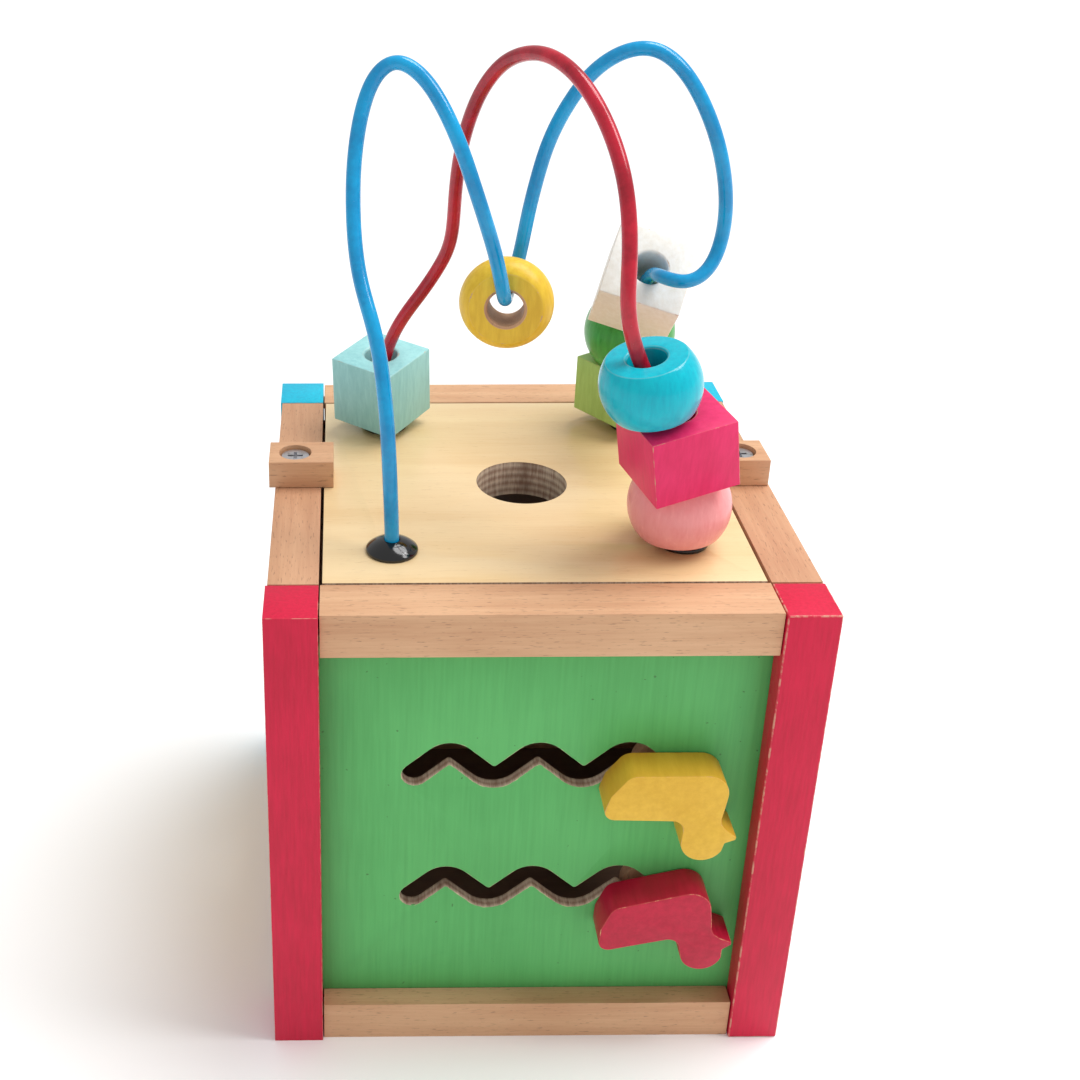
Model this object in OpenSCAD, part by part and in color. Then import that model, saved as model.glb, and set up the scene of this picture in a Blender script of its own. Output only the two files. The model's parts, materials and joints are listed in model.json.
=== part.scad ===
// Wooden activity cube: a posting box with a lift-off bead-maze lid and two slider ducks.
// X runs to the right, Y away from the front, Z up. The origin is on the ground under the
// middle of the lid's round hole. All sizes are in millimetres.

/* [Box frame] */
// Overall width of the box along X
box_w = 160; // [133:1:200]
// Overall depth of the box along Y
box_d = 160; // [133:1:200]
// Overall height of the box
box_h = 158.5; // [132:0.5:195]
// Width of a corner post along X
post_w = 15.3; // [14:0.1:20]
// Depth of a corner post along Y
post_d = 17.4; // [16.5:0.1:22]
// Height of a rail
rail_h = 13.8; // [13.5:0.1:18]
// How far the front and rear rails sit behind the post faces
rail_inset = 1.3; // [0.2:0.1:2]
// How far the side rails sit behind the post faces
side_inset = 0.6; // [0:0.1:1.5]
// Gap between a rail's end and its post
joint_gap = 0.4; // [0.1:0.1:0.8]
// Diameter of a glued dowel
dowel_d = 4.5; // [3:0.1:4.6]
// Length of a glued dowel
dowel_l = 20; // [14:1:24]

/* [Panels] */
// Thickness of the side panels
panel_t = 4; // [3:0.1:5]
// Depth of a panel's face behind its rail's face
panel_recess = 6.9; // [5.5:0.1:7.5]
// Depth of the grooves that hold the panels
groove_depth = 2.8; // [2:0.1:2.9]
// Play of a panel in its groove, each side
groove_play = 0.1; // [0.05:0.01:0.3]
// Thickness of the floor panel
floor_t = 4; // [3:0.1:5]
// Side of the square posting hole
square_hole = 27; // [20:1:32]
// Side of the triangular posting hole
triangle_hole = 34; // [24:1:38]
// Width across the corners of the six-sided posting hole
hexagon_hole = 33; // [24:1:38]
// Length of each bar of the cross-shaped posting hole
cross_hole = 31; // [24:1:36]
// Height between the two posting holes of a side
hole_rise = 52; // [46:1:58]

/* [Zigzag slots] */
// Width of a slot
slot_w = 7.7; // [7.4:0.1:9]
// Length of one full zigzag along X
slot_pitch = 26.5; // [24:0.5:29]
// Slope of the zigzag's legs in degrees
slot_slope = 41.5; // [36:0.5:44]
// Radius of the rounded bends along the slot's centre line
slot_bend_r = 4.9; // [4.2:0.1:6]
// Distance from the middle of the slot to the centre of its round end
slot_reach = 36.8; // [34:0.1:38.5]
// Height of the upper slot's centre line
slot_z_top = 101.7; // [98:0.1:106]
// Height of the lower slot's centre line
slot_z_bottom = 55.3; // [50:0.1:56]

/* [Lid] */
// Thickness of the lid
lid_t = 12; // [9:0.5:13]
// Gap between the lid and the rails
lid_gap = 1; // [0.5:0.1:1.5]
// Diameter of the lid's posting hole
sorter_hole_d = 29; // [24:0.5:34]
// Height of a ledge strip below its rail
ledge_h = 10; // [8:0.5:12]
// Width by which a ledge strip stands out past its rail
ledge_reach = 6; // [4:0.5:8]

/* [Turn buttons] */
// Length of a turn button
button_l = 20.6; // [18:0.1:24]
// Width of a turn button
button_w = 14.8; // [12:0.1:16]
// Thickness of a turn button
button_t = 9; // [7:0.1:11]
// Distance from a turn button's outer end to its screw
button_pivot = 8.3; // [7:0.1:9]
// Clearance under a turn button
button_gap = 0.2; // [0.1:0.05:0.5]
// Distance from the box's rear-to-front middle to both screws, towards the rear
button_y = 4; // [0:0.5:8]
// Distance of the left screw from the box's left side
left_button_inset = 7; // [6:0.1:8]
// Distance of the right screw from the box's right side
right_button_inset = 9.4; // [6:0.1:10]
// Diameter of the recess for the screw head
recess_d = 10.4; // [9.6:0.1:12]
// Depth of the recess for the screw head
recess_depth = 4; // [3.4:0.1:5]
// Diameter of a button screw's head
button_head_d = 8.8; // [7:0.1:9.2]
// Height of a button screw's head
button_head_h = 2.6; // [2:0.1:3]
// Diameter of a button screw's shank
button_shank_d = 4; // [3:0.1:4.5]
// Length of a button screw in its rail
button_bite = 10.5; // [8:0.5:10.8]

/* [Wires] */
// Diameter of the painted steel wire
wire_d = 4.4; // [4:0.1:4.8]
// Distance of each wire end from the middle of the lid, along X and along Y
wire_seat = 43.2; // [43:0.1:43.5]
// Distance of the front right wire end from the middle, across
front_right_x = 43.8; // [43.7:0.1:43.9]
// Distance of the front right wire end from the middle, to the front
front_right_y = 38.9; // [38.8:0.1:39]
// Length of a wire end below the lid
wire_tail = 7; // [6:0.5:9]
// Diameter of a black wire cap
cap_d = 15.5; // [13:0.1:17]
// Height of a black wire cap
cap_h = 4.2; // [3:0.1:4.4]
// Height of the straight rim of a wire cap
cap_rim = 1; // [0.6:0.1:1.2]
// Outer diameter of a wire's washer
washer_d = 12; // [10:0.5:14]
// Thickness of a wire's washer
washer_t = 1; // [0.8:0.1:1.2]
// Width across the flats of a wire's nut
nut_flats = 8; // [7:0.1:9]
// Height of a wire's nut
nut_h = 3.2; // [2.5:0.1:4]

/* [Beads] */
// Side of the light blue cube bead
blue_side = 24; // [21:0.1:26]
// Side of the lime block bead
lime_side = 25; // [21:0.1:26]
// Height of the lime block bead
lime_h = 19.5; // [18:0.1:24]
// Side of the white block bead
white_side = 26; // [21:0.1:26]
// Height of the white block bead
white_h = 24; // [21:0.1:24]
// Side of the pink block bead
pink_side = 25.8; // [21:0.1:26]
// Height of the pink block bead
pink_h = 21.5; // [20:0.1:24]
// Diameter of the pink and green barrel beads
barrel_d = 30.5; // [28:0.1:31.5]
// Height of the pink barrel bead
pink_barrel_h = 18.5; // [16:0.1:19]
// Height of the green barrel bead
green_barrel_h = 21; // [18:0.1:21.5]
// Diameter of the teal barrel bead
teal_d = 29; // [27:0.1:31]
// Height of the teal barrel bead
teal_h = 17.5; // [16:0.1:19]
// Diameter of the yellow wheel bead
wheel_d = 29; // [26:0.1:30]
// Thickness of the yellow wheel bead
wheel_t = 12; // [10:0.1:12.5]
// Diameter of the flat side of the yellow wheel bead
wheel_flat_d = 22.4; // [20:0.1:24]
// Diameter of the hole in every bead
bead_hole = 11; // [10.9:0.1:12]
// Width of the chamfer at each mouth of a bead's hole
bead_chamfer = 0.6; // [0.3:0.1:0.8]
// Gap between two beads that rest on each other
bead_gap = 0.4; // [0.2:0.1:0.8]

/* [Slider ducks] */
// Thickness of a duck
duck_t = 11.3; // [9:0.1:13]
// Gap between a duck's back and the panel
duck_gap = 0.4; // [0.3:0.1:1]
// Turn of the red duck about its screw at rest, in degrees
red_duck_turn = 14.5; // [0:0.5:20]
// Outer diameter of a sleeve that runs in a slot
sleeve_d = 7; // [6.4:0.1:7.2]
// Diameter of the disc behind the panel
disc_d = 16; // [14:0.5:18]
// Thickness of the disc behind the panel
disc_t = 4; // [3:0.5:5]
// Diameter of a duck screw's shank
duck_shank_d = 3.5; // [3:0.1:4]
// Diameter of a duck screw's head
duck_head_d = 7; // [6:0.1:8]
// Height of a duck screw's head
duck_head_h = 2.2; // [1.8:0.1:2.6]
// Depth of a duck screw in its duck
duck_bite = 8; // [6:0.5:8.5]
// Running clearance of a screw or a sleeve in its bore, in radius
running_gap = 0.08; // [0.04:0.01:0.1]

/* [Hidden] */
$fn = 64;
through = 1;
root_half = 1 / sqrt(2);

half_w = box_w / 2;
half_d = box_d / 2;
inner_x = half_w - post_w;
inner_y = half_d - post_d;
front_rail_d = post_d - rail_inset;
side_rail_w = post_w - side_inset;
front_rail_y = -half_d + rail_inset;
side_rail_x = -half_w + side_inset;
top_rail_z = box_h - rail_h;
tongue = groove_depth - groove_play;

// Panel faces, measured from the middle of the box to the outer face
front_panel_y = half_d - rail_inset - panel_recess;
side_panel_x = half_w - side_inset - panel_recess;
panel_z = rail_h - tongue;
panel_h = top_rail_z + tongue - panel_z;
hole_mid_z = (rail_h + top_rail_z) / 2;

lid_z = box_h - lid_t;
lid_half_x = inner_x - lid_gap;
lid_half_y = inner_y - lid_gap;

// Dowels of the front and rear rails lie nearer the rail's outer edge than those of the sides
dowel_near = dowel_d / 2 + 1.35;
dowel_far = dowel_near + dowel_d + 0.3;
front_dowel_y = half_d - rail_inset - front_rail_d / 2;
side_dowel_x = half_w - side_inset - side_rail_w / 2;

slot_rise = slot_pitch / 4 * tan(slot_slope);
duck_x = slot_reach;
duck_rise = slot_rise - (slot_reach - slot_pitch) * tan(slot_slope);
disc_y = -front_panel_y + panel_t + duck_gap;
duck_back_y = -front_panel_y - duck_gap;
screw_head_gap = 0.2;

left_button_x = half_w - left_button_inset;
right_button_x = half_w - right_button_inset;
shank_hole_d = button_shank_d + 2 * running_gap;
button_z = box_h + button_gap;

wire_hole_d = wire_d + 0.2;
wire_ends = [[-wire_seat, -wire_seat], [front_right_x, -front_right_y],
    [-wire_seat, wire_seat], [wire_seat, wire_seat]];
cap_dome_h = cap_h - cap_rim;
cap_dome_r = (pow(cap_d / 2, 2) + pow(cap_dome_h, 2)) / (2 * cap_dome_h);
// Height of a cap's dome where the mouth of a bead's hole rests on it
perch = cap_h - cap_dome_r + sqrt(pow(cap_dome_r, 2) - pow(bead_hole / 2 + bead_chamfer, 2));
bead_base = box_h + perch + 0.2;

// Bead centres, and the lean and turn of each bead on its wire
blue_cube_at = [-44.2, 43, bead_base + blue_side / 2 + 1.4];
blue_cube_lean = [6.5, -2, 53];
lime_block_at = [40.8, 44.8, bead_base + lime_h / 2 + 2];
lime_block_lean = [0, 0, 35];
green_barrel_at = [40, 44, lime_block_at[2] + (lime_h + green_barrel_h) / 2 + bead_gap];
white_block_at = [39.6, 27, green_barrel_at[2] + 23.3];
white_block_lean = [46, 0, -20];
pink_barrel_at = [41.7, -39.3, bead_base + pink_barrel_h / 2 + 1.6];
pink_barrel_lean = [0, -4, 0];
pink_block_at = [37.8, -44.9, pink_barrel_at[2] + (pink_barrel_h + pink_h) / 2 + bead_gap + 2];
pink_block_lean = [7, -9, 15];
teal_barrel_at = [28, -48.2, pink_block_at[2] + (pink_h + teal_h) / 2 + bead_gap + 0.2];
teal_barrel_lean = [5, -13, 0];
wheel_at = [-7.5, 0, box_h + 61.9];
wheel_lean = [90, -8.3, 0];

// Route of the blue wire from front left to rear right: X, Y and height above the lid
blue_route = [
    [-wire_seat, -wire_seat, -lid_t - wire_tail], [-wire_seat, -wire_seat, -6],
    [-wire_seat, -wire_seat, 6], [-44, -43.5, 22.5], [-44.5, -42, 35], [-45.5, -39, 47.5],
    [-47, -35, 60], [-49.5, -31.5, 69.5], [-52.5, -26, 77.5], [-54, -21, 86.5],
    [-54.5, -16, 95.5], [-54.5, -12, 105], [-53.5, -9, 115.5], [-51.5, -7, 125],
    [-48.5, -6, 132.5], [-44, -6, 136.5], [-39.5, -7, 136.5], [-33.5, -9, 132],
    [-28.5, -12, 124], [-24, -14, 114.5], [-20.5, -15, 104.5], [-17.5, -15, 96],
    [-14.5, -14, 87], [-12, -12.5, 79], [-9.5, -10, 67.5], [-8.5, -5, 64],
    [-7.5, 0, 64.4], [-6.5, 5, 64], [-4, 10, 68], [-2.2, 11.5, 76], [-0.5, 12, 88],
    [1.5, 12, 97.5], [3.5, 12, 106.5], [6.8, 12, 115], [10.5, 11.5, 122], [15, 11, 129],
    [20.5, 10, 134], [26.5, 9, 137], [32.5, 8, 137.5], [38, 7, 135], [43.5, 6, 129.5],
    [48.5, 5.5, 121.5], [53, 5, 112], [56.2, 5, 102], [58.4, 6, 91], [58.6, 7, 81.5],
    [56.5, 5, 73.5], [52, 2, 69], [47, 1, 67.7], [42.6, 3, 68], [40, 8.5, 67.7],
    [40.2, 15.5, 65.6], [40.2, 22, 62], [40.3, 30, 56.6], [40.5, 37.3, 50.5],
    [41, 42, 45], [41.6, 45, 36.5], [42.1, 45.5, 27], [wire_seat, 44.3, 17],
    [wire_seat, wire_seat, 8], [wire_seat, wire_seat, -6],
    [wire_seat, wire_seat, -lid_t - wire_tail]];
// Route of the red wire from rear left to front right: X, Y and height above the lid
red_route = [
    [-wire_seat, wire_seat, -lid_t - wire_tail], [-wire_seat, wire_seat, -6],
    [-wire_seat, wire_seat, 6], [-43.5, 43, 15.5], [-44.5, 42.2, 24], [-39.5, 39, 40],
    [-31.8, 37, 50.5], [-26, 35, 61], [-23, 33, 68], [-22, 31.2, 75.5], [-22, 29, 84.5],
    [-21.8, 26, 94], [-21, 23, 103.5], [-19.5, 20, 112], [-17.2, 17, 120.5], [-14.2, 13, 127.5],
    [-10.5, 8, 133.5], [-6.2, 2, 137], [-1.8, -5, 138.8], [2.2, -12, 138.3], [6, -18, 136],
    [9.6, -25.2, 132.2], [13.2, -31, 126], [16, -35.8, 119.2], [18, -40, 112],
    [19, -43, 105], [19.5, -45.5, 98], [19.6, -47.5, 90.5], [19.4, -49, 83],
    [20, -50, 75], [23, -49.7, 65.5], [27.2, -48.8, 57], [31.6, -47.6, 48.5],
    [35.8, -45.6, 40.5], [38.6, -43.8, 33], [40.8, -41.8, 25], [42.8, -39.8, 16.5],
    [front_right_x, -front_right_y, 9], [front_right_x, -front_right_y, 0],
    [front_right_x, -front_right_y, -8],
    [front_right_x, -front_right_y, -lid_t - wire_tail]];

// ---- small helpers -------------------------------------------------------------------

// Points of an arc from angle a to angle b, used to round an outline
function arc(cx, cy, r, a, b, n = 8) =
    [for (i = [0 : n]) let (t = a + (b - a) * i / n) [cx + r * cos(t), cy + r * sin(t)]];

function unit(v) = v / norm(v);

// One point of a uniform cubic B-spline through the span p0 p1 p2 p3
function spline_point(p0, p1, p2, p3, t) =
    (pow(1 - t, 3) * p0 + (3 * pow(t, 3) - 6 * t * t + 4) * p1
    + (-3 * pow(t, 3) + 3 * t * t + 3 * t + 1) * p2 + pow(t, 3) * p3) / 6;

// The route with one mirrored point added at each end, so that the curve reaches both ends
function with_ends(p) = concat([2 * p[0] - p[1]], p, [2 * p[len(p) - 1] - p[len(p) - 2]]);

function spline(p, steps) = let (q = with_ends(p)) concat(
    [for (i = [0 : len(q) - 4], s = [0 : steps - 1])
        spline_point(q[i], q[i + 1], q[i + 2], q[i + 3], s / steps)],
    [p[len(p) - 1]]);

// A round bar swept along a smooth route. The side vector is never parallel to the route.
module swept_bar(route, d, side, sides = 10, steps = 2) {
    line = spline(route, steps);
    last = len(line) - 1;
    rings = [for (i = [0 : last])
        let (ahead = unit(line[min(i + 1, last)] - line[max(i - 1, 0)]),
            u = unit(cross(ahead, side)),
            v = cross(ahead, u))
        for (k = [0 : sides - 1]) let (a = 360 * k / sides)
            line[i] + d / 2 * (cos(a) * u + sin(a) * v)];
    faces = concat(
        [[for (k = [0 : sides - 1]) k]],
        [for (i = [0 : last - 1], k = [0 : sides - 1]) let (j = (k + 1) % sides)
            [i * sides + k, (i + 1) * sides + k, (i + 1) * sides + j, i * sides + j]],
        [[for (k = [sides - 1 : -1 : 0]) last * sides + k]]);
    polyhedron(rings, faces, convexity = 10);
}

// Copies its child into the left and the right half, mirrored
module both_sides() {
    children();
    mirror([1, 0, 0]) children();
}

module all_corners() {
    for (sx = [0, 1], sy = [0, 1])
        mirror([sx, 0, 0]) mirror([0, sy, 0]) children();
}

// ---- frame of posts and rails --------------------------------------------------------

// Dowels of the front left corner, for the bottom rails and the top rails. The same
// shapes, made longer or wider, drill the bores.
module corner_dowels() {
    for (top = [0, 1]) {
        near_z = top ? box_h - dowel_near : dowel_near;
        far_z = top ? box_h - dowel_far : dowel_far;
        translate([-inner_x - dowel_l / 2, -front_dowel_y, near_z])
            rotate([0, 90, 0]) cylinder(d = dowel_d, h = dowel_l);
        translate([-side_dowel_x, -inner_y + dowel_l / 2, far_z])
            rotate([90, 0, 0]) cylinder(d = dowel_d, h = dowel_l);
    }
}

module rail_dowels() {
    color("burlywood") all_corners() corner_dowels();
}

// Space of the front panel and of the left panel, with play, for the grooves
module front_groove() {
    translate([-inner_x - groove_depth, -front_panel_y - groove_play, rail_h - groove_depth])
        cube([2 * (inner_x + groove_depth), panel_t + 2 * groove_play,
            top_rail_z - rail_h + 2 * groove_depth]);
}

module left_groove() {
    translate([-side_panel_x - groove_play, -inner_y - groove_depth, rail_h - groove_depth])
        cube([panel_t + 2 * groove_play, 2 * (inner_y + groove_depth),
            top_rail_z - rail_h + 2 * groove_depth]);
}

// Rebate round the foot of the bottom rails, in which the floor panel lies flush
module floor_groove() {
    translate([-inner_x - groove_depth, -inner_y - groove_depth, -through])
        cube([2 * (inner_x + groove_depth), 2 * (inner_y + groove_depth),
            floor_t + groove_play + through]);
}

// The front left post; the others are mirror images of it
module post() {
    difference() {
        translate([-half_w, -half_d, 0]) cube([post_w, post_d, box_h]);
        front_groove();
        left_groove();
        corner_dowels();
    }
}

module post_front_left() { color("crimson") post(); }
module post_front_right() { color("crimson") mirror([1, 0, 0]) post(); }
module post_rear_left() { color("deepskyblue") mirror([0, 1, 0]) post(); }
module post_rear_right() {
    color("deepskyblue") mirror([0, 1, 0]) mirror([1, 0, 0]) post();
}

// A front or rear rail at the given height, seen as the front one
module front_rail(z) {
    difference() {
        translate([-inner_x + joint_gap, front_rail_y, z])
            cube([2 * (inner_x - joint_gap), front_rail_d, rail_h]);
        front_groove();
        floor_groove();
        both_sides() corner_dowels();
    }
}

// A side rail at the given height, seen as the left one
module side_rail(z) {
    difference() {
        translate([side_rail_x, -inner_y + joint_gap, z])
            cube([side_rail_w, 2 * (inner_y - joint_gap), rail_h]);
        left_groove();
        floor_groove();
        corner_dowels();
        mirror([0, 1, 0]) corner_dowels();
        if (z > 0) children();
    }
}

// Pilot hole for a button's screw in a left rail
module button_pilot(x) {
    translate([-x, button_y, box_h - button_bite])
        cylinder(d = button_shank_d, h = button_bite + through);
}

module top_rail_front() { color("tan") front_rail(top_rail_z); }
module top_rail_rear() { color("tan") mirror([0, 1, 0]) front_rail(top_rail_z); }
module top_rail_left() { color("tan") side_rail(top_rail_z) button_pilot(left_button_x); }
module top_rail_right() {
    color("tan") mirror([1, 0, 0]) side_rail(top_rail_z) button_pilot(right_button_x);
}
module bottom_rail_front() { color("tan") front_rail(0); }
module bottom_rail_rear() { color("tan") mirror([0, 1, 0]) front_rail(0); }
module bottom_rail_left() { color("tan") side_rail(0); }
module bottom_rail_right() { color("tan") mirror([1, 0, 0]) side_rail(0); }

// ---- panels --------------------------------------------------------------------------

module front_board() {
    translate([-inner_x - tongue, -front_panel_y, panel_z])
        cube([2 * (inner_x + tongue), panel_t, panel_h]);
}

module left_board() {
    translate([-side_panel_x, -inner_y - tongue, panel_z])
        cube([panel_t, 2 * (inner_y + tongue), panel_h]);
}

// Outline of a zigzag slot, centred on its middle peak's X. Both edges follow the same
// centre line: a bend is an arc on its outside and a small arc on its inside.
function zigzag_edge(side) =
    let (bend = slot_bend_r, r = slot_w / 2)
    [for (i = [-2 : 2])
        let (peak = i % 2 == 0 ? 1 : -1,
            turn = bend / cos(slot_slope),
            cx = i * slot_pitch / 2,
            cy = peak * (slot_rise - turn),
            radius = side == peak ? bend + r : bend - r)
        for (p = arc(cx, cy, radius, 90 * peak + peak * slot_slope,
            90 * peak - peak * slot_slope)) p];

function slot_end(sx) = [sx * slot_reach, duck_rise];

module zigzag_slot() {
    r = slot_w / 2;
    left = arc(slot_end(-1)[0], slot_end(-1)[1], r, 270 + slot_slope, 90 + slot_slope);
    right = arc(slot_end(1)[0], slot_end(1)[1], r, 90 - slot_slope, -90 - slot_slope);
    lower = zigzag_edge(-1);
    outline = concat(left, zigzag_edge(1), right,
        [for (i = [len(lower) - 1 : -1 : 0]) lower[i]]);
    polygon(outline);
}

module front_panel() {
    color("mediumseagreen") difference() {
        front_board();
        for (z = [slot_z_top, slot_z_bottom])
            translate([0, -front_panel_y + panel_t + through, z]) rotate([90, 0, 0])
                linear_extrude(panel_t + 2 * through) zigzag_slot();
    }
}

module rear_panel() { color("tomato") mirror([0, 1, 0]) front_board(); }

// Posting holes of a side panel, one above the other, in the left panel's place
module side_holes() {
    for (i = [0, 1])
        translate([-side_panel_x - through, 0, hole_mid_z + (i - 0.5) * hole_rise])
            rotate([90, 0, 90]) linear_extrude(panel_t + 2 * through) children(i);
}

module triangle(side) {
    r = side / sqrt(3);
    translate([0, -r / 4]) polygon([for (a = [90, 210, 330]) r * [cos(a), sin(a)]]);
}

module left_panel() {
    color("gold") difference() {
        left_board();
        side_holes() {
            triangle(triangle_hole);
            square(square_hole, center = true);
        }
    }
}

module right_panel() {
    color("cornflowerblue") mirror([1, 0, 0]) difference() {
        left_board();
        side_holes() {
            circle(d = hexagon_hole, $fn = 6);
            union() {
                square([cross_hole, cross_hole / 3], center = true);
                square([cross_hole / 3, cross_hole], center = true);
            }
        }
    }
}

module floor_panel() {
    color("wheat") linear_extrude(floor_t) union() {
        square([2 * (inner_x + tongue), 2 * (inner_y - joint_gap)], center = true);
        square([2 * (inner_x - joint_gap), 2 * (inner_y + tongue)], center = true);
    }
}

// ---- lid -----------------------------------------------------------------------------

// Rebated strip glued under the left rail; its upper edge carries the lid
module ledge() {
    x0 = -side_panel_x + panel_t;
    shelf_z = min(top_rail_z, lid_z);
    translate([x0, -inner_y, shelf_z - ledge_h])
        cube([-inner_x + ledge_reach - x0, 2 * inner_y, ledge_h]);
    if (lid_z > top_rail_z) translate([-inner_x, -inner_y, top_rail_z])
        cube([ledge_reach, 2 * inner_y, lid_z - top_rail_z]);
}

module ledge_left() { color("burlywood") ledge(); }
module ledge_right() { color("burlywood") mirror([1, 0, 0]) ledge(); }

module wire_feet() {
    for (p = wire_ends) translate([p[0], p[1], 0]) children();
}

module lid() {
    color("blanchedalmond") difference() {
        translate([-lid_half_x, -lid_half_y, lid_z])
            cube([2 * lid_half_x, 2 * lid_half_y, lid_t]);
        translate([0, 0, lid_z - through])
            cylinder(d = sorter_hole_d, h = lid_t + 2 * through);
        wire_feet() translate([0, 0, lid_z - through])
            cylinder(d = wire_hole_d, h = lid_t + 2 * through);
    }
}

// ---- turn buttons --------------------------------------------------------------------

// The left turn button about its screw's axis
module turn_button(x) {
    translate([-x, button_y, button_z]) difference() {
        translate([-button_pivot, -button_w / 2, 0]) cube([button_l, button_w, button_t]);
        translate([0, 0, -through]) cylinder(d = shank_hole_d, h = button_t + 2 * through);
        translate([0, 0, button_t - recess_depth])
            cylinder(d = recess_d, h = recess_depth + through);
    }
}

module turn_button_left() { color("tan") turn_button(left_button_x); }
module turn_button_right() { color("tan") mirror([1, 0, 0]) turn_button(right_button_x); }

// Pan head with a cross recess, and its shank, with the head's seat at z = 0
module cross_screw(head_d, head_h, shank_d, shank_l) {
    slot = [head_d * 0.55, head_d * 0.12, head_h];
    difference() {
        union() {
            cylinder(d = head_d, h = head_h);
            translate([0, 0, -shank_l]) cylinder(d = shank_d, h = shank_l + head_h / 2);
        }
        for (a = [0, 90])
            rotate(a) translate([-slot[0] / 2, -slot[1] / 2, head_h / 2]) cube(slot);
    }
}

module button_screw(x) {
    seat = button_z + button_t - recess_depth + button_gap;
    translate([-x, button_y, seat])
        cross_screw(button_head_d, button_head_h, button_shank_d, seat - box_h + button_bite);
}

module button_screw_left() { color("silver") button_screw(left_button_x); }
module button_screw_right() { color("silver") mirror([1, 0, 0]) button_screw(right_button_x); }

// ---- wires, caps and their fixings -----------------------------------------------------

function above_lid(route) = [for (p = route) [p[0], p[1], p[2] + box_h]];

module wire_blue() {
    color("dodgerblue") swept_bar(above_lid(blue_route), wire_d, [root_half, root_half, 0]);
}

module wire_red() {
    color("firebrick") swept_bar(above_lid(red_route), wire_d, [root_half, root_half, 0]);
}

// Domed plastic cap over a wire's hole
module wire_cap() {
    translate([0, 0, box_h]) difference() {
        union() {
            cylinder(d = cap_d, h = cap_rim);
            intersection() {
                translate([0, 0, cap_h - cap_dome_r]) sphere(r = cap_dome_r);
                translate([0, 0, cap_rim]) cylinder(d = cap_d, h = cap_h);
            }
        }
        translate([0, 0, -through]) cylinder(d = wire_hole_d, h = cap_h + 2 * through);
    }
}

module cap_front_left() {
    color("black") translate([-wire_seat, -wire_seat, 0]) wire_cap();
}
module cap_front_right() {
    color("black") translate([front_right_x, -front_right_y, 0]) wire_cap();
}
module cap_rear_left() {
    color("black") translate([-wire_seat, wire_seat, 0]) wire_cap();
}
module cap_rear_right() {
    color("black") translate([wire_seat, wire_seat, 0]) wire_cap();
}

module wire_washers() {
    color("silver") wire_feet() translate([0, 0, lid_z - washer_t]) difference() {
        cylinder(d = washer_d, h = washer_t);
        translate([0, 0, -through]) cylinder(d = wire_hole_d, h = washer_t + 2 * through);
    }
}

module wire_nuts() {
    color("silver") wire_feet() translate([0, 0, lid_z - washer_t - nut_h]) difference() {
        cylinder(d = nut_flats / cos(30), h = nut_h, $fn = 6);
        translate([0, 0, -through]) cylinder(d = wire_hole_d, h = nut_h + 2 * through);
    }
}

// ---- beads -----------------------------------------------------------------------------

// A bead placed on its wire: first turned about its own hole, then leaned
module on_wire(at, lean) {
    translate(at) rotate([lean[0], 0, 0]) rotate([0, lean[1], 0]) rotate([0, 0, lean[2]])
        children();
}

// A bead's hole with a chamfer at each mouth, for a bead of height h
module bead_bore(h) {
    cylinder(d = bead_hole, h = 2 * h, center = true);
    for (end = [0, 1]) mirror([0, 0, end])
        translate([0, 0, h / 2 - bead_chamfer])
            cylinder(d1 = bead_hole, d2 = bead_hole + 4 * bead_chamfer, h = 2 * bead_chamfer);
}

module block_bead(side, h) {
    difference() {
        cube([side, side, h], center = true);
        bead_bore(h);
    }
}

// A ball with both ends cut flat
module barrel_bead(d, h) {
    difference() {
        intersection() {
            sphere(d = d);
            cylinder(d = d + through, h = h, center = true);
        }
        bead_bore(h);
    }
}

// A wheel with a rounded rim between two flat sides
module wheel_bead() {
    rim = (wheel_d - wheel_flat_d) / 2;
    crown = (pow(wheel_t / 2, 2) + pow(rim, 2)) / (2 * rim);
    reach = asin(wheel_t / 2 / crown);
    difference() {
        rotate_extrude()
            polygon(concat([[0, -wheel_t / 2]],
                arc(wheel_d / 2 - crown, 0, crown, -reach, reach, 16),
                [[0, wheel_t / 2]]));
        bead_bore(wheel_t);
    }
}

module bead_blue_cube() {
    color("lightblue") on_wire(blue_cube_at, blue_cube_lean) block_bead(blue_side, blue_side);
}
module bead_lime_block() {
    color("yellowgreen") on_wire(lime_block_at, lime_block_lean) block_bead(lime_side, lime_h);
}
module bead_white_block() {
    color("white") on_wire(white_block_at, white_block_lean) block_bead(white_side, white_h);
}
module bead_pink_block() {
    color("deeppink") on_wire(pink_block_at, pink_block_lean) block_bead(pink_side, pink_h);
}
module bead_green_barrel() {
    color("forestgreen") on_wire(green_barrel_at, [0, 0, 0])
        barrel_bead(barrel_d, green_barrel_h);
}
module bead_pink_barrel() {
    color("pink") on_wire(pink_barrel_at, pink_barrel_lean)
        barrel_bead(barrel_d, pink_barrel_h);
}
module bead_teal_barrel() {
    color("darkturquoise") on_wire(teal_barrel_at, teal_barrel_lean)
        barrel_bead(teal_d, teal_h);
}
module bead_yellow_wheel() {
    color("gold") on_wire(wheel_at, wheel_lean) wheel_bead();
}

// ---- slider ducks ------------------------------------------------------------------------

// Side view of a duck that hangs head down, about its screw
duck_outline = concat(
    arc(-15.7, -4.6, 3, 270, 165, 6),
    [[-17.2, 0.9], [-14.2, 5]],
    arc(-9.6, 3.5, 4.6, 138, 90, 4),
    arc(10.3, 1.5, 6.6, 90, -10, 8),
    [[16.2, -4.2], [15.6, -7.6]],
    [[15.9, -9.6], [17.4, -11.6], [20.7, -14.2], [20.4, -15.2], [17.4, -16.4]],
    arc(11, -16.2, 6.5, -30, -190, 12),
    [[4.8, -12.2]],
    arc(1.3, -11.6, 3.5, 10, 90, 5));

module at_slot(z) {
    translate([duck_x, 0, z + duck_rise]) children();
}

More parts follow.
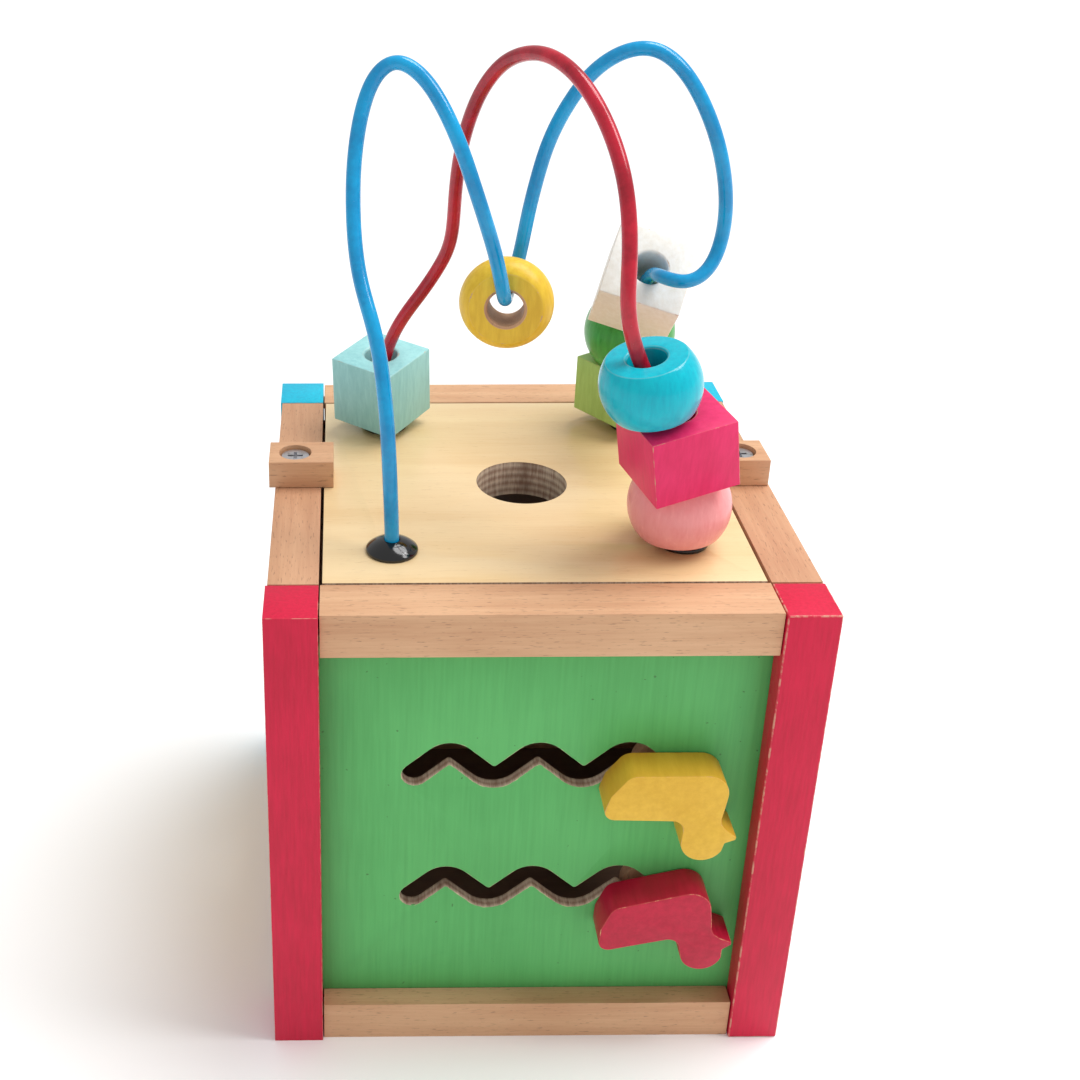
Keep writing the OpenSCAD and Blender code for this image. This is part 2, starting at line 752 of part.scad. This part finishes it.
module duck(turn) {
    translate([0, duck_back_y, 0]) rotate([0, -turn, 0]) rotate([90, 0, 0]) difference() {
        linear_extrude(duck_t) polygon(duck_outline);
        translate([0, 0, -through]) cylinder(d = duck_shank_d, h = duck_bite + through);
    }
}

// Screw from behind, through disc and sleeve, into the duck
module duck_screw() {
    seat = disc_y + disc_t + screw_head_gap;
    translate([0, seat, 0]) rotate([-90, 0, 0])
        cross_screw(duck_head_d, duck_head_h, duck_shank_d, seat - duck_back_y + duck_bite);
}

module duck_sleeve() {
    translate([0, disc_y, 0]) rotate([90, 0, 0]) difference() {
        cylinder(d = sleeve_d, h = disc_y - duck_back_y - screw_head_gap);
        translate([0, 0, -through])
            cylinder(d = duck_shank_d + 2 * running_gap, h = panel_t + 4 * through);
    }
}

module duck_disc() {
    translate([0, disc_y + disc_t, 0]) rotate([90, 0, 0]) difference() {
        cylinder(d = disc_d, h = disc_t);
        translate([0, 0, -through])
            cylinder(d = duck_shank_d + 2 * running_gap, h = disc_t + 2 * through);
    }
}

module duck_yellow() { color("goldenrod") at_slot(slot_z_top) duck(0); }
module duck_red() { color("crimson") at_slot(slot_z_bottom) duck(red_duck_turn); }
module duck_screw_yellow() { color("silver") at_slot(slot_z_top) duck_screw(); }
module duck_screw_red() { color("silver") at_slot(slot_z_bottom) duck_screw(); }
module duck_sleeve_yellow() { color("burlywood") at_slot(slot_z_top) duck_sleeve(); }
module duck_sleeve_red() { color("burlywood") at_slot(slot_z_bottom) duck_sleeve(); }
module duck_disc_yellow() { color("burlywood") at_slot(slot_z_top) duck_disc(); }
module duck_disc_red() { color("burlywood") at_slot(slot_z_bottom) duck_disc(); }

// ---- assembly ------------------------------------------------------------------------

post_front_left();
post_front_right();
post_rear_left();
post_rear_right();
top_rail_front();
top_rail_rear();
top_rail_left();
top_rail_right();
bottom_rail_front();
bottom_rail_rear();
bottom_rail_left();
bottom_rail_right();
rail_dowels();
front_panel();
rear_panel();
left_panel();
right_panel();
floor_panel();
ledge_left();
ledge_right();
lid();
turn_button_left();
turn_button_right();
button_screw_left();
button_screw_right();
wire_blue();
wire_red();
cap_front_left();
cap_front_right();
cap_rear_left();
cap_rear_right();
wire_washers();
wire_nuts();
bead_blue_cube();
bead_lime_block();
bead_green_barrel();
bead_white_block();
bead_pink_barrel();
bead_pink_block();
bead_teal_barrel();
bead_yellow_wheel();
duck_yellow();
duck_red();
duck_screw_yellow();
duck_screw_red();
duck_sleeve_yellow();
duck_sleeve_red();
duck_disc_yellow();
duck_disc_red();
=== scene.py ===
import json
import math

import bpy
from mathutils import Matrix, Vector


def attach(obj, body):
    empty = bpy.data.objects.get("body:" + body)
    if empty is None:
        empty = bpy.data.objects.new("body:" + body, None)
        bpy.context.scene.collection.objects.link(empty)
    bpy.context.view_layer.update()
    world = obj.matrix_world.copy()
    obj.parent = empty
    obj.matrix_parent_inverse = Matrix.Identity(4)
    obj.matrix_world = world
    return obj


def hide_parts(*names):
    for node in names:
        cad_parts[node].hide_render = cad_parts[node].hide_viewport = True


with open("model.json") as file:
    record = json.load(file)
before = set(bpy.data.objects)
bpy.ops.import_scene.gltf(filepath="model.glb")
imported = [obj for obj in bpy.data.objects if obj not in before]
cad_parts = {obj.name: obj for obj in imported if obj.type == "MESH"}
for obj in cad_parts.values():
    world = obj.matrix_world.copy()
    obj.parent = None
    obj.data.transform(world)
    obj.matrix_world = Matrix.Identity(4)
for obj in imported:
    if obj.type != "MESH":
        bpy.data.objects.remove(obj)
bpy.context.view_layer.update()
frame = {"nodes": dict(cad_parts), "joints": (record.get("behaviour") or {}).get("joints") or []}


# ---- Corner posts --------------------------------------------------------------------
# Four straight beech posts, painted on every side: crimson at the front, cyan at the rear.
# Their edges are eased by hand sanding and have lost paint where the box has been knocked.

class Signal:
    """One output inside a material. Arithmetic on it adds the Math nodes."""

    # Where a Mix node has its factor, its two colours and its mixed colour.
    MIX_FACTOR, MIX_FIRST, MIX_SECOND, MIX_RESULT = 0, 6, 7, 2

    def __init__(self, tree, socket=None):
        self.tree, self.socket = tree, socket

    def node(self, kind, settings, sockets, output=0):
        made = self.tree.nodes.new(kind)
        for name, value in settings.items():
            setattr(made, name, value)
        for name, value in sockets.items():
            if isinstance(value, Signal):
                self.tree.links.new(value.socket, made.inputs[name])
            else:
                made.inputs[name].default_value = value
        return Signal(self.tree, made.outputs[output])

    def maths(self, operation, first, second):
        return self.node("ShaderNodeMath", {"operation": operation}, {0: first, 1: second})

    def __add__(self, other):
        return self.maths("ADD", self, other)

    def __sub__(self, other):
        return self.maths("SUBTRACT", self, other)

    def __mul__(self, other):
        return self.maths("MULTIPLY", self, other)

    def __rsub__(self, other):
        return self.maths("SUBTRACT", other, self)

    __radd__ = __add__
    __rmul__ = __mul__

    def between(self, low, high):
        """0 up to low, 1 from high on, and a soft step between them."""
        return self.node("ShaderNodeMapRange", {"interpolation_type": "SMOOTHSTEP"},
                         {"Value": self, "From Min": low, "From Max": high})

    def noise(self, scale, detail=4, rough=0.55):
        """Noise with its own number of features per metre along X, Y and Z."""
        place = self.node("ShaderNodeTexCoord", {}, {}, "Object")
        stretched = self.node("ShaderNodeMapping", {}, {"Vector": place, "Scale": scale})
        return self.node("ShaderNodeTexNoise", {}, {
            "Vector": stretched, "Scale": 1.0, "Detail": detail, "Roughness": rough})

    def axis(self, name):
        """The place along X, Y or Z."""
        place = self.node("ShaderNodeTexCoord", {}, {}, "Object")
        return self.node("ShaderNodeSeparateXYZ", {}, {0: place}, name)

    def edge(self):
        """1 on rounded edges and 0 on flat faces, as ease leaves it on the mesh."""
        return self.node("ShaderNodeAttribute", {"attribute_name": "edge"}, {}, "Fac")

    def mix(self, first, second):
        """The colour first where this signal is 0, and second where it is 1."""
        colours = {self.MIX_FACTOR: self, self.MIX_FIRST: first, self.MIX_SECOND: second}
        return self.node("ShaderNodeMix", {"data_type": "RGBA"}, colours, self.MIX_RESULT)

    def bump(self, strength, distance):
        return self.node("ShaderNodeBump", {}, {
            "Height": self, "Strength": strength, "Distance": distance})


def paint(red, green, blue):
    """A colour from its 0 to 255 display values, in the linear values that shaders take."""
    def linear(value):
        share = value / 255
        return share / 12.92 if value < 11 else ((share + 0.055) / 1.055) ** 2.4

    return linear(red), linear(green), linear(blue), 1.0


def finish(name, build):
    """A material whose shader sockets take what build returns."""
    made = bpy.data.materials.new(name)
    made.use_nodes = True
    shader = made.node_tree.nodes["Principled BSDF"]
    for socket, value in build(Signal(made.node_tree)).items():
        if isinstance(value, Signal):
            made.node_tree.links.new(value.socket, shader.inputs[socket])
        else:
            shader.inputs[socket].default_value = value
    return made


def painted_wood(name, colour, shade, bare, grain, wear, rough, relief=0.35):
    """Paint over wood: the grain shows through as fine lines, and edges wear to bare wood."""
    thin_paint = tuple(0.75 * c + 0.25 * b for c, b in zip(colour, bare))
    fibre_roughness = 0.15
    mean_fibre_roughness = 0.08

    def build(s):
        fibres = s.noise(grain, 5, 0.65)
        cloudy = s.noise((30, 30, 30), 3)
        chips = s.noise((330, 330, 330), 7, 0.7)
        dents = s.noise((120, 120, 120), 2)
        worn = (s.edge() * wear + chips).between(0.78, 0.92)
        rubbed = (s.edge() * 0.4 + chips * 0.3).between(0.3, 0.85)
        tone = (fibres * 0.7 + cloudy * 0.5).between(0.35, 0.85)
        body = rubbed.mix(tone.mix(shade, colour), thin_paint)
        return {
            "Base Color": worn.mix(body, bare),
            "Roughness": (worn * 0.3 + fibres * fibre_roughness
                          + (rough - mean_fibre_roughness)),
            "Normal": (fibres * 0.5 + dents * 0.5 - worn * 0.3).bump(relief, 0.0003),
            "Specular IOR Level": 0.28,
            "Coat Weight": 0.05,
            "Coat Roughness": 0.2,
        }
    return finish(name, build)


MERGE_DISTANCE = 0.00001  # metres, as all lengths here
FLAT_ANGLE = 0.4  # degrees, as all angles here unless marked


def merged_copy(node, flat=FLAT_ANGLE):
    """The CAD node's mesh in a new object, with its corners joined and flat faces whole."""
    piece = bpy.data.objects.new(node + "_finished", frame["nodes"][node].data.copy())
    bpy.context.scene.collection.objects.link(piece)
    bpy.ops.object.select_all(action="DESELECT")
    bpy.context.view_layer.objects.active = piece
    piece.select_set(True)
    bpy.ops.mesh.customdata_custom_splitnormals_clear()
    bpy.ops.object.mode_set(mode="EDIT")
    bpy.ops.mesh.select_all(action="SELECT")
    bpy.ops.mesh.remove_doubles(threshold=MERGE_DISTANCE)
    if flat:
        bpy.ops.mesh.dissolve_limited(angle_limit=math.radians(flat))
    bpy.ops.object.mode_set(mode="OBJECT")
    return piece


SMOOTH_ANGLE = 32


def ease(piece, material, width, segments, sharp=35):
    """Rounds edges steeper than sharp, and marks them in the attribute that wear reads."""
    mesh = piece.data
    mesh.materials.clear()
    mesh.materials.append(material)
    # A second slot tells the bevel's own faces from the flat ones, and is taken off again.
    mesh.materials.append(material)
    for face in mesh.polygons:
        face.material_index = 0
    bevel = piece.modifiers.new("eased", "BEVEL")
    bevel.width = width
    bevel.segments = segments
    bevel.limit_method = "ANGLE"
    bevel.angle_limit = math.radians(sharp)
    bevel.miter_outer = "MITER_ARC"
    bevel.material = 1
    bpy.ops.object.modifier_apply(modifier=bevel.name)
    mesh = piece.data
    flat = {v for face in mesh.polygons if face.material_index == 0 for v in face.vertices}
    edge = mesh.attributes.new("edge", "FLOAT", "POINT")
    edge.data.foreach_set("value", [float(v not in flat) for v in range(len(mesh.vertices))])
    for face in mesh.polygons:
        face.material_index = 0
    mesh.materials.pop(index=1)
    bpy.ops.object.shade_smooth_by_angle(angle=math.radians(SMOOTH_ANGLE))


def fit(piece, node, body):
    """The piece stands for the CAD node, which is hidden, and moves with its body."""
    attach(piece, body)
    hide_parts(node)


bare_post = paint(214, 150, 130)
post_grain = (900, 900, 70)
red_paint = painted_wood("crimson_paint", paint(216, 20, 66), paint(190, 12, 52), bare_post,
                         post_grain, wear=0.34, rough=0.42)
cyan_paint = painted_wood("cyan_paint", paint(0, 194, 220), paint(0, 160, 194), bare_post,
                          post_grain, wear=0.34, rough=0.4)
for node in ("post_front_left", "post_front_right", "post_rear_left", "post_rear_right"):
    front = node.startswith("post_front")
    post = merged_copy(node)
    ease(post, red_paint if front else cyan_paint, width=0.0025, segments=5)
    fit(post, node, "root")


# ---- Rails and dowels ----------------------------------------------------------------
# Eight bare beech rails join the posts, four round the top and four at the foot, each held
# by glued dowels. The wood is fine sanded and shows the short dark flecks of beech.

def bare_beech(name, along, light, dark):
    """Beech with its grain along X, Y or Z: 0, 1 or 2."""
    fleck_brown = tuple(0.45 * c for c in dark[:3]) + (1.0,)

    def scale(across, length):
        return tuple(length if axis == along else across for axis in range(3))

    def build(s):
        bands = s.noise(scale(120, 5), 4, 0.6)
        fibres = s.noise(scale(1500, 60), 5, 0.65)
        flecks = s.noise(scale(2200, 330), 2, 0.5).between(0.6, 0.72)
        cloudy = s.noise((22, 22, 22), 2)
        grime = (s.edge() * 0.4 + s.noise((160, 160, 160), 6, 0.65)).between(0.72, 1.0)
        tone = (bands * 0.8 + fibres * 0.35 + cloudy * 0.35).between(0.45, 1.05)
        wood = (flecks * 0.5).mix(tone.mix(light, dark), fleck_brown)
        return {
            "Base Color": (grime * 0.35).mix(wood, paint(150, 104, 80)),
            "Roughness": fibres * 0.2 + 0.5,
            "Normal": (fibres * 0.6 - flecks * 0.5).bump(0.3, 0.0002),
        }
    return finish(name, build)


def cover(node, material):
    """The CAD node keeps its mesh and takes the material."""
    materials = frame["nodes"][node].data.materials
    materials.clear()
    materials.append(material)


beech_light = paint(222, 178, 138)
beech_dark = paint(194, 142, 104)
beech_across = bare_beech("beech_across", 0, beech_light, beech_dark)
beech_deep = bare_beech("beech_deep", 1, paint(212, 164, 126), paint(184, 132, 98))
beech_upright = bare_beech("beech_upright", 2, beech_light, beech_dark)
for level in ("top", "bottom"):
    for side in ("front", "rear", "left", "right"):
        node = f"{level}_rail_{side}"
        rail = merged_copy(node)
        wood = beech_across if side in ("front", "rear") else beech_deep
        ease(rail, wood, width=0.0015, segments=4)
        fit(rail, node, "root")
cover("rail_dowels", beech_across)


# ---- Panels and floor ----------------------------------------------------------------
# Thin plywood sheets held in grooves of the posts and rails. The paint is brushed on along
# the outer face's height. The cut edges of holes and slots show the plies. The inner faces
# and the floor are bare ply, coloured darker as painted shade for the box's dim inside.

PLY = 0.0013
CUT_EDGE = 0.5  # a cut edge's normal has less than this of the sheet's own direction
FLAT_FACE = 0.9  # and a flat face's normal has more than this of it


def panel_paint(name, colour, shade, across):
    """Brushed paint on a standing sheet whose level axis is X or Y: 0 or 1."""
    def build(s):
        brush = s.noise(tuple(700 if axis == across else 30 for axis in range(3)), 5, 0.6)
        cloudy = s.noise((18, 18, 18), 3)
        specks = s.noise((520, 520, 520), 1).between(0.775, 0.8)
        worn = (s.edge() * 0.45 + s.noise((400, 400, 400), 5)).between(0.76, 1.0)
        tone = (brush * 0.55 + cloudy * 0.6).between(0.35, 0.8)
        body = worn.mix(tone.mix(shade, colour), paint(212, 206, 160))
        return {
            "Base Color": (specks * 0.55).mix(body, paint(60, 80, 50)),
            "Roughness": brush * 0.12 + 0.42,
            "Specular IOR Level": 0.3,
            "Normal": brush.bump(0.22, 0.0002),
        }
    return finish(name, build)


def cut_plies(name, axis):
    """The edge of a routed plywood sheet: thin layers and cutter marks across the sheet."""
    depth = "XYZ".index(axis)

    def build(s):
        layer = s.node("ShaderNodeMath", {"operation": "PINGPONG"},
                       {0: s.axis(axis), 1: PLY}) * (1 / PLY)
        marks = s.noise(tuple(90 if a == depth else 1100 for a in range(3)), 4, 0.7)
        burn = s.noise(tuple(60 if a == depth else 140 for a in range(3)), 3)
        tone = (marks * 0.9 + layer * 0.25).between(0.35, 0.85)
        body = tone.mix(paint(158, 128, 108), paint(228, 210, 184))
        return {
            "Base Color": (burn.between(0.48, 0.7) * 0.5).mix(body, paint(104, 72, 54)),
            "Roughness": 0.75,
            "Normal": (layer * 0.3 + marks).bump(0.4, 0.0003),
        }
    return finish(name, build)


def birch_veneer(name, light, dark):
    """Birch veneer with a wide soft figure under clear lacquer."""
    def build(s):
        figure = s.noise((9, 60, 60), 4, 0.5)
        fibres = s.noise((50, 1300, 1300), 5, 0.6)
        pores = s.noise((260, 2400, 2400), 2).between(0.64, 0.72)
        tone = (figure * 0.9 + fibres * 0.3).between(0.4, 0.9)
        wood = (pores * 0.25).mix(tone.mix(light, dark), paint(176, 132, 84))
        grime = (s.edge() + s.noise((200, 200, 200), 4) * 0.5).between(0.8, 1.4)
        return {
            "Base Color": (grime * 0.6).mix(wood, paint(196, 158, 112)),
            "Roughness": fibres * 0.1 + s.noise((60, 60, 60), 5) * 0.16 + 0.2,
            "Normal": (fibres * 0.4 + figure).bump(0.12, 0.0003),
            "Coat Weight": 0.35,
            "Coat Roughness": 0.16,
        }
    return finish(name, build)


def bare_where(piece, material, test):
    """Gives the faces whose normal passes the test a second finish."""
    piece.data.materials.append(material)
    for face in piece.data.polygons:
        if test(face.normal):
            face.material_index = len(piece.data.materials) - 1


birch = birch_veneer("birch_lacquer", paint(240, 212, 164), paint(228, 192, 138))
# Bare ply for the inner faces and the floor, darker than the wood is: painted shade for the dim
# inside of the box.
raw_ply_painted_shade = birch_veneer("raw_ply_painted_shade", paint(122, 96, 78), paint(96, 72, 58))
slot_plies = cut_plies("slot_plies", "Y")
hole_plies = cut_plies("hole_plies", "X")

green_panel = merged_copy("front_panel")
green_paint = panel_paint("green_paint", paint(96, 184, 104), paint(84, 168, 92), 0)
ease(green_panel, green_paint, width=0.00045, segments=2)
bare_where(green_panel, slot_plies, lambda normal: abs(normal.y) < CUT_EDGE)
bare_where(green_panel, raw_ply_painted_shade, lambda normal: normal.y > FLAT_FACE)
fit(green_panel, "front_panel", "root")

for node, outward, slot, colour, shade in (
        ("left_panel", -1, "panel_yellow", paint(244, 196, 60), paint(226, 172, 40)),
        ("right_panel", 1, "panel_blue", paint(60, 140, 205), paint(44, 118, 184))):
    panel = merged_copy(node)
    ease(panel, panel_paint(slot + "_paint", colour, shade, 1), width=0.00045, segments=2)
    bare_where(panel, hole_plies, lambda normal: abs(normal.x) < CUT_EDGE)
    bare_where(panel, raw_ply_painted_shade, lambda normal: normal.x * outward < -FLAT_FACE)
    fit(panel, node, "root")

rear_panel = merged_copy("rear_panel")
rear_paint = panel_paint("rear_paint", paint(206, 44, 50), paint(178, 30, 38), 0)
ease(rear_panel, rear_paint, width=0.0004, segments=2)
bare_where(rear_panel, raw_ply_painted_shade, lambda normal: normal.y < -FLAT_FACE)
fit(rear_panel, "rear_panel", "root")

# The floor is bare ply in the darkened colour, painted shade for the box's dim inside.
cover("floor_panel", raw_ply_painted_shade)


# ---- Lid and its ledges --------------------------------------------------------------
# A thick lacquered birch plywood lid with a round posting hole in the middle. It lies on two
# rebated beech strips and lifts out when the turn buttons are turned aside.

lid = merged_copy("lid")
ease(lid, birch, width=0.0007, segments=3)
bare_where(lid, cut_plies("lid_plies", "Z"), lambda normal: abs(normal.z) < CUT_EDGE)
fit(lid, "lid", "root")
for node in ("ledge_left", "ledge_right"):
    cover(node, beech_deep)


# ---- Turn buttons --------------------------------------------------------------------
# Two small beech blocks that swing over the lid's edge on a cross-head screw each. The
# screw is zinc plated, and sits in a round sinking in the block.

def brushed_zinc(s):
    scratches = s.noise((2500, 2500, 300), 4, 0.7)
    tarnish = s.noise((420, 420, 420), 4).between(0.45, 0.75)
    return {
        "Base Color": tarnish.mix(paint(206, 206, 210), paint(140, 136, 132)),
        "Metallic": 1.0 - tarnish * 0.25,
        "Roughness": scratches * 0.25 + 0.2,
        "Normal": scratches.bump(0.2, 0.0001),
    }


zinc = finish("zinc_plate", brushed_zinc)
for side in ("left", "right"):
    node = f"turn_button_{side}"
    button = merged_copy(node)
    ease(button, beech_across, width=0.0014, segments=4)
    fit(button, node, node)
    cover(f"button_screw_{side}", zinc)


# ---- Wires ---------------------------------------------------------------------------
# Two steel wires bent by hand into loops and dipped in a thick glossy coating, one blue
# and one red. Each goes from one corner of the lid to the opposite one.

QUAD_ANGLE = 40
ROUNDING_LOSS = 0.00014  # how far rounding would draw the wire's surface in


def dipped(name, colour, shade):
    """A glossy coating with slow runs, and paler where it is scuffed."""
    scuffed = tuple(0.6 * c + 0.35 for c in colour[:3]) + (1.0,)

    def build(s):
        runs = s.noise((70, 70, 70), 3)
        fine = s.noise((600, 600, 600), 3)
        scuffs = s.noise((900, 900, 900), 6, 0.7).between(0.66, 0.74)
        body = (runs * 0.8 + fine * 0.3).between(0.35, 0.75).mix(shade, colour)
        return {
            "Base Color": (scuffs * 0.3).mix(body, scuffed),
            "Roughness": scuffs * 0.25 + fine * 0.08 + 0.14,
            "Normal": (runs + fine * 0.15).bump(0.25, 0.0006),
            "Specular IOR Level": 0.4,
            "Coat Weight": 0.2,
            "Coat Roughness": 0.06,
        }
    return finish(name, build)


for node, colour, shade in (("wire_blue", paint(0, 162, 218), paint(0, 132, 190)),
                            ("wire_red", paint(196, 24, 50), paint(150, 10, 34))):
    wire = merged_copy(node, flat=0)
    bpy.ops.object.mode_set(mode="EDIT")
    bpy.ops.mesh.tris_convert_to_quads(face_threshold=math.radians(QUAD_ANGLE),
                                       shape_threshold=math.radians(QUAD_ANGLE))
    bpy.ops.transform.shrink_fatten(value=ROUNDING_LOSS)
    bpy.ops.object.mode_set(mode="OBJECT")
    rounding = wire.modifiers.new("rounding", "SUBSURF")
    rounding.levels = rounding.render_levels = 2
    bpy.ops.object.modifier_apply(modifier=rounding.name)
    bpy.ops.object.shade_smooth()
    wire.data.materials.clear()
    wire.data.materials.append(dipped(node + "_coating", colour, shade))
    fit(wire, node, "root")


# ---- Caps, washers and nuts ----------------------------------------------------------
# A domed black plastic cap covers the lid's hole at each wire end. Under the lid each end
# has a plated washer and nut.

def black_plastic(s):
    dust = s.noise((500, 500, 500), 6, 0.7).between(0.6, 0.8)
    moulded = s.noise((90, 90, 90), 2)
    return {
        "Base Color": (dust * 0.08).mix(paint(8, 8, 10), paint(120, 116, 110)),
        "Roughness": dust * 0.3 + 0.13,
        "Normal": moulded.bump(0.1, 0.0004),
        "Coat Weight": 0.3,
    }


plastic = finish("black_plastic", black_plastic)
for corner in ("front_left", "front_right", "rear_left", "rear_right"):
    node = f"cap_{corner}"
    cap = merged_copy(node)
    ease(cap, plastic, width=0.0003, segments=3, sharp=25)
    fit(cap, node, "root")
for node in ("wire_washers", "wire_nuts"):
    cover(node, zinc)


# ---- Beads ---------------------------------------------------------------------------
# Wooden beads, loose on the wires: blocks, barrels and one wheel. Each is sawn or turned,
# drilled through and painted. The wheel's bore is left bare.

WHEEL_BORE = 0.0072  # a little more than the radius of the bore and its mouth

bead_wood = paint(206, 164, 128)
bead_grain = (650, 650, 110)
# Node, finish slot, paint, its darker shade, roughness and wear of the edges.
beads = (
    ("bead_blue_cube", "bead_blue", paint(166, 222, 222), paint(140, 200, 202), 0.45, 0.24),
    ("bead_lime_block", "bead_lime", paint(184, 218, 122), paint(160, 196, 100), 0.45, 0.24),
    ("bead_green_barrel", "bead_green", paint(78, 176, 78), paint(56, 146, 60), 0.3, 0.1),
    ("bead_white_block", "bead_white", paint(240, 238, 232), paint(226, 220, 208), 0.42, 0.25),
    ("bead_pink_barrel", "bead_pink", paint(246, 164, 164), paint(236, 144, 146), 0.26, 0.1),
    ("bead_pink_block", "bead_magenta", paint(236, 48, 110), paint(216, 34, 90), 0.45, 0.3),
    ("bead_teal_barrel", "bead_teal", paint(0, 188, 204), paint(0, 162, 186), 0.2, 0.08),
    ("bead_yellow_wheel", "bead_yellow", paint(244, 206, 66), paint(222, 178, 46), 0.34, 0.28),
)
for node, slot, colour, shade, rough, wear in beads:
    bead = merged_copy(node)
    sawn = node.endswith(("block", "cube"))
    bead_paint = painted_wood(slot + "_paint", colour, shade, bead_wood, bead_grain, wear,
                              rough, relief=0.3)
    ease(bead, bead_paint, width=0.0007 if sawn else 0.0006, segments=3, sharp=30)
    if node == "bead_yellow_wheel":
        spin = next(joint for joint in frame["joints"] if joint["child"] == node)
        centre, along = Vector(spin["pos_m"]), Vector(spin["axis"]).normalized()
        bead.data.materials.append(beech_upright)
        for face in bead.data.polygons:
            corners = [bead.data.vertices[v].co - centre for v in face.vertices]
            if max(corner.cross(along).length for corner in corners) < WHEEL_BORE:
                face.material_index = 1
    fit(bead, node, node)


# ---- Slider ducks --------------------------------------------------------------------
# Two ducks fret-sawn from thick plywood and painted. A screw through a wooden sleeve in
# the slot joins each to a disc behind the panel, so it slides and turns.

duck_wood = paint(232, 178, 130)
duck_grain = (420, 60, 420)
for kind, colour, shade in (("yellow", paint(238, 192, 66), paint(220, 170, 50)),
                            ("red", paint(204, 32, 66), paint(172, 20, 50))):
    node = f"duck_{kind}"
    duck = merged_copy(node)
    duck_paint = painted_wood(f"duck_{kind}_paint", colour, shade, duck_wood, duck_grain,
                              wear=0.3, rough=0.42, relief=0.4)
    ease(duck, duck_paint, width=0.0005, segments=3, sharp=30)
    fit(duck, node, node)
    for part, material in (("screw", zinc), ("sleeve", beech_deep), ("disc", beech_upright)):
        cover(f"duck_{part}_{kind}", material)


# ---- Floor, light and camera ---------------------------------------------------------
# A plain pale floor in an even pale surround, with a soft lamp high on the right and a wide
# ceiling light that comes from the right and the rear.

def pale_floor(s):
    cloudy = s.noise((3, 3, 3), 2)
    return {
        "Base Color": cloudy.mix(paint(250, 250, 250), paint(255, 255, 255)),
        "Roughness": 0.9,
    }


def hang(name, light, place, back):
    """Puts the light at place, shining along the opposite of back."""
    holder = bpy.data.objects.new(name, light)
    bpy.context.scene.collection.objects.link(holder)
    holder.location = place
    holder.rotation_euler = Vector(back).to_track_quat("Z", "Y").to_euler()


bpy.ops.object.select_all(action="DESELECT")
bpy.ops.mesh.primitive_plane_add(size=6, location=(0, 0, 0))
ground = bpy.context.object
ground.name = "floor"
ground.data.materials.append(finish("pale_floor", pale_floor))

world = bpy.data.worlds.new("surround")
world.use_nodes = True
surround = world.node_tree.nodes["Background"]
surround.inputs["Color"].default_value = (1, 1, 1, 1)
surround.inputs["Strength"].default_value = 0.62
bpy.context.scene.world = world

lamp = bpy.data.lights.new("key_lamp", "AREA")
lamp.shape = "DISK"
lamp.size = 0.35
lamp.energy = 2.2
lamp_x, lamp_y, lamp_z = 0.5, -0.1, 0.75
target_z = 0.12
hang("key_lamp", lamp, (lamp_x, lamp_y, lamp_z), (lamp_x, lamp_y, lamp_z - target_z))

sky = bpy.data.lights.new("ceiling_light", "SUN")
sky.angle = math.radians(35)
sky.energy = 1.9
hang("ceiling_light", sky, (0, 0, 0), (0.4, 0.22, 1))
bpy.context.scene.view_settings.view_transform = "Standard"

view = bpy.data.cameras.new("camera")
view.lens = 49.56
view.sensor_width = 36
view.shift_x = 0.1706
view.shift_y = -0.117
view.clip_start = 0.01
camera = bpy.data.objects.new("camera", view)
camera.location = (-0.0575, -0.4258, 0.3811)
tilt = math.radians(65.07)
turn = -0.0093  # radians
camera.rotation_euler = (tilt, 0, turn)
bpy.context.scene.collection.objects.link(camera)
bpy.context.scene.camera = camera
